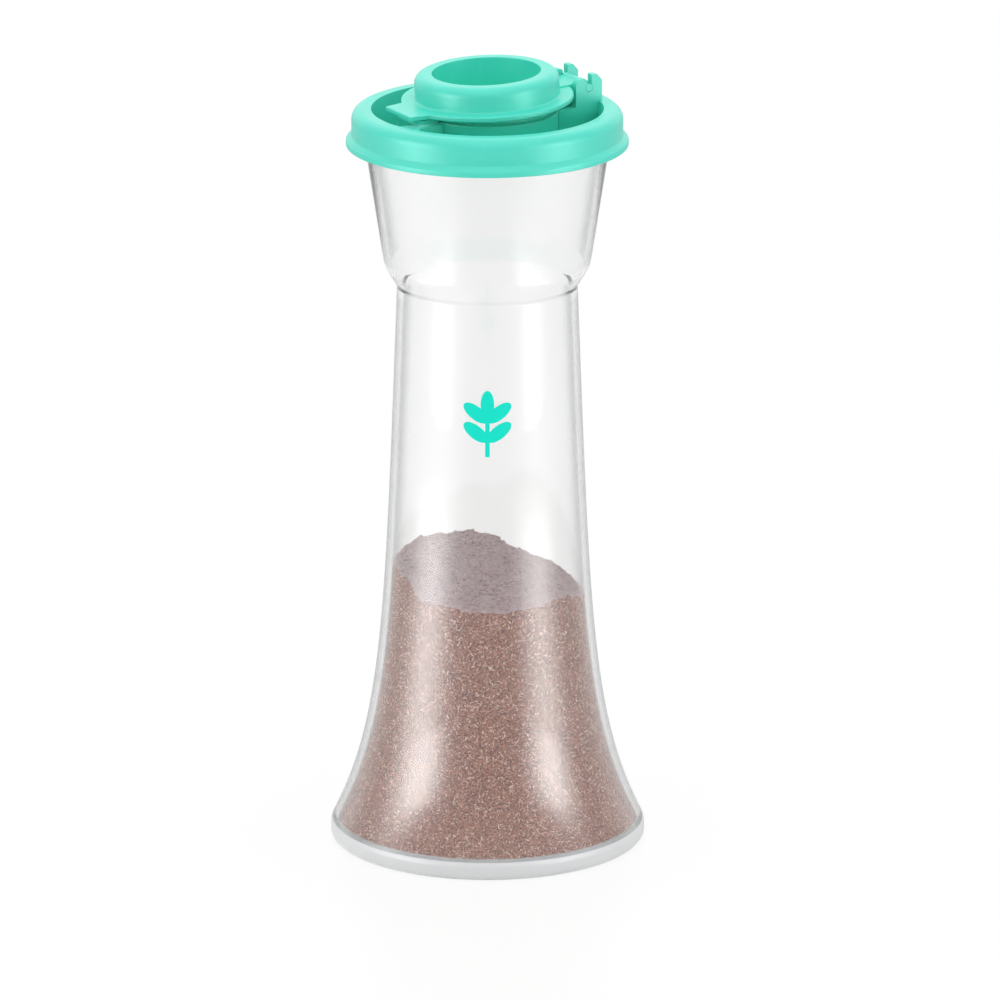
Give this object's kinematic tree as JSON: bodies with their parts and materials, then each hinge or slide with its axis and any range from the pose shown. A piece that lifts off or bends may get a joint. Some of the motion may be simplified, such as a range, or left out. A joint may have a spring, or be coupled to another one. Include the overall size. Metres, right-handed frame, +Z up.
{
  "type": "spice shaker",
  "caption": "Hourglass spice shaker: clear flared bottle, press-on cap with sprinkle plate, and a hinged flip lid with collar and thumb tab.",
  "frame": {"origin": "middle of the foot, on the surface that the shaker stands on", "axes": "+Z up the bottle's axis; the printed front faces -Y; the lid's hinge stands at the back right, 29 degrees from +X towards +Y"},
  "size_m": [0.063, 0.063, 0.158],
  "materials": {
    "clear_plastic": "clear polypropylene with a faint milkiness, smooth and glossy",
    "cap_plastic": "satin moulded polyethylene, turquoise",
    "printed_ink": "flat turquoise printing ink",
    "ground_spice": "coarse ground dried spice with pale fibres"
  },
  "bodies": {
    "bottle": {"bottle_body": "clear_plastic", "base_disc": "clear_plastic", "ground_spice": "ground_spice", "printed_sprig": "printed_ink"},
    "cap": {"seal_cap": "cap_plastic"},
    "lid": {"flip_lid": "cap_plastic"}
  },
  "joints": [
    {"name": "cap_lift", "type": "slide", "parent": "bottle", "child": "cap", "axis": [0, 0, 1], "range_m": [0, 0.014]},
    {"name": "lid_hinge", "type": "hinge", "parent": "cap", "child": "lid", "pos_m": [0.01741, 0.00965, 0.1529], "axis": [-0.4848, 0.8746, 0], "range_deg": [0, 165]}
  ]
}
